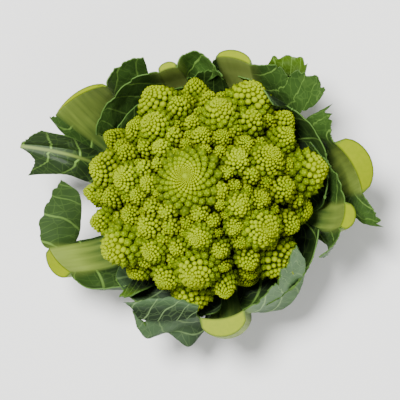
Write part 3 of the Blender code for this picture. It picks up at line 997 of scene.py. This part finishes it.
# %% [markdown]
# Each leaf is then laid on its lines, measured, given its numbers and its relief, and walled. It stands for
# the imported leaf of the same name.

# %% Building a leaf
def build_leaf(number, name, leaf):
    bm, layers = leaf_grid(2 * MIDDLE_COLUMN, LEAF_ROWS)
    shift = Vector((number * 31.7, number * 11.3, 0))
    keys, spots, places = [], {}, []
    for vert in bm.verts:
        column, row = grid_place(vert)
        side = 1 if column < MIDDLE_COLUMN else -1
        wide, share = across_of(abs(column - MIDDLE_COLUMN)), row / LEAF_ROWS
        if wide > 1:
            wide, share = notched(leaf, side, wide, share, shift)
        vert.co = to_space(leaf_point(leaf, side, wide, share))
        keys.append((column, row))
        spots[column, row] = vert.co.copy()
        places.append((side, wide, share))
    bm.verts.index_update()
    bm.normal_update()
    lengths = flat_lengths(spots)
    flat = [lengths[key] for key in keys]
    weights, moves = [], []
    for vert, (side, wide, share), (u, v) in zip(bm.verts, places, flat):
        numbers = leaf_numbers(leaf, side, wide, share, u, v, shift)
        for key, value in numbers.items():
            vert[layers[key]] = value
        moves.append(vert.normal * leaf_relief(wide, u, v, numbers["lateral"], shift) * MM)
        thick = between(leaf["thickness"], share) * math.sqrt(max(1 - min(wide, 1) ** 2, 0))
        weights.append(max(thick, BLADE_THICKNESS) / max(leaf["thickness"]))
    for vert, move in zip(bm.verts, moves):
        vert.co += move
    lay_flat(bm, flat)
    piece = show(name + "_blade", bm, upper_side, name)
    return give_wall(piece, waxy_side, max(leaf["thickness"]), weights)


leaves = [build_leaf(number, name, leaf) for number, (name, leaf) in enumerate(LEAVES.items())]
print("Leaves:", len(leaves), "with", len(leaves[0].data.polygons), "faces each when walled")

# %% [markdown]
# Between the curd and the big leaves there are small ones, folded round the curd's foot where hardly any
# light comes, and torn pieces stand up or fold over where a leaf was cropped. Each is a sheet drawn between
# two measured lines, bowed out between them, with a torn upper edge. "faces" names its two sides where they
# aren't the usual two.

# %% Inner leaves and torn pieces
SHEET_CELLS = 26
SHEET_WIDTH = 60.0
SHEET_HEIGHT = 40.0
SHEETS = {
    "inner_leaf_1": {
        "on": "leaf_3", "bow": 6,
        "left": [(286, 50, 45), (286, 72, 50), (288, 80, 66)],
        "right": [(346, 50, 45), (343, 74, 50), (340, 80, 78)],
    },
    "inner_leaf_2": {
        "on": "leaf_6", "bow": 5,
        "left": [(350, 50, 45), (352, 72, 50), (356, 79, 70)],
        "right": [(50, 50, 45), (48, 72, 50), (44, 78, 76)],
    },
    "inner_leaf_3": {
        "on": "leaf_5", "bow": 4,
        "left": [(212, 50, 45), (214, 70, 49), (222, 82, 62)],
        "right": [(278, 50, 45), (276, 72, 49), (272, 78, 60)],
        "faces": (waxy_side, upper_side),
    },
    "inner_leaf_4": {
        "on": "leaf_4", "bow": 4,
        "left": [(76, 50, 45), (77, 68, 52), (79, 76, 80)],
        "right": [(103, 50, 45), (101, 68, 50), (97, 76, 78)],
    },
    "inner_leaf_5": {
        "on": "leaf_7", "bow": 4,
        "left": [(100, 50, 45), (101, 70, 50), (102, 75, 62)],
        "right": [(150, 50, 45), (150, 70, 50), (150, 75, 62)],
    },
    "torn_piece_1": {
        "on": "leaf_4", "bow": 3,
        "left": [(66, 77, 70), (68, 77, 84), (69, 76, 95)],
        "right": [(46, 79, 68), (46, 74, 80), (47, 71, 92)],
        "faces": (waxy_side, upper_side),
    },
    "torn_piece_2": {
        "on": "leaf_5", "bow": 2,
        "left": [(238, 66, 50), (237, 72, 62), (236, 76, 70)],
        "right": [(226, 72, 50), (228, 80, 60), (229, 88, 66)],
        "faces": (young_side, young_side),
    },
    "torn_piece_3": {
        "on": "leaf_4", "bow": 1,
        "left": [(66, 84, 54), (64, 92, 63), (62.5, 101, 70)],
        "right": [(46, 86, 52), (48, 96, 62), (51, 111, 70)],
        "faces": (young_side, young_side),
    },
    "torn_piece_4": {
        "on": "leaf_3", "bow": -9,
        "left": [(267.6, 81.3, 78), (268.8, 77.3, 80.5), (269.5, 73.6, 82)],
        "right": [(242.5, 91.7, 71.5), (237.6, 87.7, 74), (233.1, 87.8, 75.5)],
    },
}


def build_sheet(number, name, sheet):
    bm, layers = leaf_grid(SHEET_CELLS, SHEET_CELLS)
    shift = Vector((number * 13.1, 50 + number * 7.7, 0))
    left = [Vector(point) for point in sheet["left"]]
    right = [Vector((near(azimuth, left[0].x), *rest)) for azimuth, *rest in sheet["right"]]
    flat = []
    for vert in bm.verts:
        across, share = vert.co.x + 0.5, vert.co.y + 0.5
        lobe = wobble(shift, across * 4, 0, 1)
        tooth = wobble(shift, across * 13, 0, 5)
        share *= 1 - (0.22 * abs(lobe) + 0.1 * abs(tooth)) * share**3
        spot = along(left, share).lerp(along(right, share), across)
        swell = sheet["bow"] * math.sin(math.pi * across) * share
        spot += Vector((0, swell, wobble(shift, across * 5, share * 5, 0) * 1.5 * share))
        vert.co = to_space(spot)
        flat.append((across * SHEET_WIDTH, share * SHEET_HEIGHT))
        vert[layers["lateral"]] = across * 4 + share * 1.5 + 0.4 * lobe
        vert[layers["crossing"]] = share * 5 + across * 3 + 0.6 * tooth
        vert[layers["vigour"]] = 0.6
        vert[layers["tone"]] = 1
        # "open" rises up the sheet, so its lower part is painted in shade.
        vert[layers["open"]] = ease((share - 0.3) / 0.7)
    bm.verts.index_update()
    lay_flat(bm, flat)
    bmesh.ops.recalc_face_normals(bm, faces=bm.faces)
    upper, lower = sheet.get("faces", (upper_side, waxy_side))
    piece = show(name, bm, upper, sheet["on"])
    return give_wall(piece, lower, BLADE_THICKNESS)


sheets = [build_sheet(number, name, sheet) for number, (name, sheet) in enumerate(SHEETS.items())]
print("Sheets:", len(sheets), "with", len(sheets[0].data.polygons), "faces each when walled")

# %% [markdown]
# The stem is the stump that the whole head grew from, cut flat across. Low ridges run part of the way round
# it: the scars of lower leaves that were taken off. Its skin is fibrous, with long pale streaks that also
# stand out a little, and it shines where the light grazes it. The cut has dried and is matt, and a paler
# ring of woody vessels lies round its pith.

# %% The stem
STEM_PALE = linear("#8C9F4E")
STEM_GREEN = linear("#4F6A28")
STEM_WOOD = linear("#A9A968")
STEM_STEPS = 96
STEM_RINGS = 40
SCAR_HEIGHTS = (7, 15, 24, 34)
STREAK_WIDTH = 2.0
CUT_GRAIN = 1.5


def stem_skin():
    skin, shader = new_material("fibrous_stem_skin", {"Roughness": 0.5, "IOR": 1.4})
    place = add_node(skin, "TexCoord").outputs["Object"]
    drawn = add_node(skin, "Mapping", {"Scale": (1, 1, 0.12), "Vector": place})
    streaks = add_node(skin, "TexNoise", {"Scale": 1 / (STREAK_WIDTH * MM), "Detail": 3, "Vector": drawn})
    colour = add_node(skin, "Mix", {"Factor": streaks, "A": STEM_GREEN, "B": STEM_PALE}, data_type="RGBA")
    bump = add_node(skin, "Bump", {"Strength": 0.4, "Distance": 0.3 * MM, "Height": streaks})
    fill(shader, {"Base Color": colour, "Normal": bump})
    return skin


def stem_cut():
    cut, shader = new_material("dried_stem_cut", {"Roughness": 0.7, "IOR": 1.4})
    place = add_node(cut, "TexCoord").outputs["Object"]
    flat = add_node(cut, "VectorMath", {0: place, 1: (1, 1, 0)}, operation="MULTIPLY")
    out = add_node(cut, "VectorMath", {0: flat}, operation="LENGTH")
    share = add_node(cut, "Math", {0: out, 1: STEM_FOOT_RADIUS * MM}, operation="DIVIDE")
    grain = add_node(cut, "TexNoise", {"Scale": 1 / (CUT_GRAIN * MM), "Vector": place})
    wander = {"From Min": 0.3, "From Max": 0.7, "To Min": -0.04, "To Max": 0.04, "Value": grain}
    uneven = add_node(cut, "MapRange", wander)
    ring = add_node(cut, "Math", {0: share, 1: uneven}, operation="ADD")
    layers = add_node(cut, "ValToRGB", {"Fac": ring})
    layers.color_ramp.elements[0].color = STEM_PALE
    layers.color_ramp.elements[1].color = STEM_GREEN
    for stop, colour in ((0.6, STEM_PALE), (0.72, STEM_WOOD), (0.84, STEM_WOOD), (0.9, STEM_PALE)):
        layers.color_ramp.elements.new(stop).color = colour
    fill(shader, {"Base Color": layers})
    return cut


def stem_radius(height, azimuth):
    """The stem's radius in mm, with its scars and its slightly uneven flank."""
    plain = between((STEM_FOOT_RADIUS, STEM_TOP_RADIUS), height / STEM_TOP_Z)
    around = Vector((2 * math.cos(azimuth), 2 * math.sin(azimuth), height * 0.08))
    scars = 0.0
    for number, level in enumerate(SCAR_HEIGHTS):
        wander = 1.5 * noise.noise(around + Vector((0, 0, number * 5)))
        present = ease(noise.noise(around * 0.7 + Vector((number * 3, 0, 0))) * 4 + 0.5)
        scars += present * math.exp(-(((height - level - wander) / 0.8) ** 2))
    return plain - 0.7 + 0.7 * scars - 0.5 * abs(noise.noise(around))


def build_stem():
    flank = [(STEM_FOOT_RADIUS, STEM_TOP_Z * k / STEM_RINGS) for k in range(STEM_RINGS + 1)]
    bm = turned([(0, 0)] + flank + [(0, STEM_TOP_Z)], STEM_STEPS)
    for vert in bm.verts:
        if vert.co.xy.length > 1:
            azimuth = math.atan2(vert.co.y, vert.co.x)
            radius = stem_radius(vert.co.z, azimuth)
            vert.co = (radius * math.cos(azimuth), radius * math.sin(azimuth), vert.co.z)
    bmesh.ops.scale(bm, vec=(MM, MM, MM), verts=bm.verts)
    mesh = show("stem_stump", bm, stem_skin(), "stem").data
    mesh.materials.append(stem_cut())
    for face in mesh.polygons:
        if face.center.z < 0.01 * MM:
            face.material_index = 1
    mesh.set_sharp_from_angle(angle=math.radians(40))


build_stem()

# %% [markdown]
# The head is shown as in a product photograph: on white, under one large soft light from above, with a
# weaker one to lift the shadows, and seen from high in front. The floor's paint is matt, so it mirrors
# nothing and shows a soft shadow only.

# %% Floor, light and camera
FLOOR_WHITE = linear("#F7F7F5")
VIEW_TARGET = Vector((-2, -5, 72)) * MM
VIEW_WAY = Vector((0.195, -0.173, 1)).normalized()
VIEW_DISTANCE = 900 * MM
VIEW_SPAN = 260 * MM
SENSOR = 36.0
FLOOR_REACH = 3.0
ROOM_LIGHT = 0.34


def build_floor():
    bm = bmesh.new()
    bmesh.ops.create_grid(bm, x_segments=1, y_segments=1, size=FLOOR_REACH)
    mesh = kept_mesh(bm, "floor")
    floor = put_in_scene("floor", mesh)
    paint, _ = new_material("white_sweep", {"Roughness": 0.8, "IOR": 1.45, "Base Color": FLOOR_WHITE})
    mesh.materials.append(paint)


def build_light(name, place, size, power):
    lamp = bpy.data.lights.new(name, "AREA")
    lamp.shape = "DISK"
    lamp.size = size
    lamp.energy = power
    light = put_in_scene(name, lamp)
    light.location = place
    light.rotation_euler = (VIEW_TARGET - Vector(place)).to_track_quat("-Z", "Y").to_euler()


def build_camera():
    lens = bpy.data.cameras.new("camera")
    lens.sensor_width = SENSOR
    lens.lens = SENSOR * VIEW_DISTANCE / VIEW_SPAN
    camera = put_in_scene("camera", lens)
    right = (-VIEW_WAY).cross(Vector((0, 1, 0))).normalized()
    up = right.cross(-VIEW_WAY)
    turn = Matrix((right, up, VIEW_WAY)).transposed().to_4x4()
    camera.matrix_world = Matrix.Translation(VIEW_TARGET + VIEW_WAY * VIEW_DISTANCE) @ turn
    bpy.context.scene.camera = camera


build_floor()
build_light("key", (-0.15, 0.2, 1.5), size=0.5, power=50)
build_light("fill", (0.5, -0.9, 0.9), size=1.0, power=9)
build_camera()
world = bpy.data.worlds.new("soft_room")
world.use_nodes = True
fill(world.node_tree.nodes["Background"], {"Color": linear("#FFFFFF"), "Strength": ROOM_LIGHT})
bpy.context.scene.world = world

# %% [markdown]
# The last cell prints the size of the imported box.

# %% Size of the imported box
print("Packed box:", [round(value / MM, 1) for value in cad_high - cad_low])
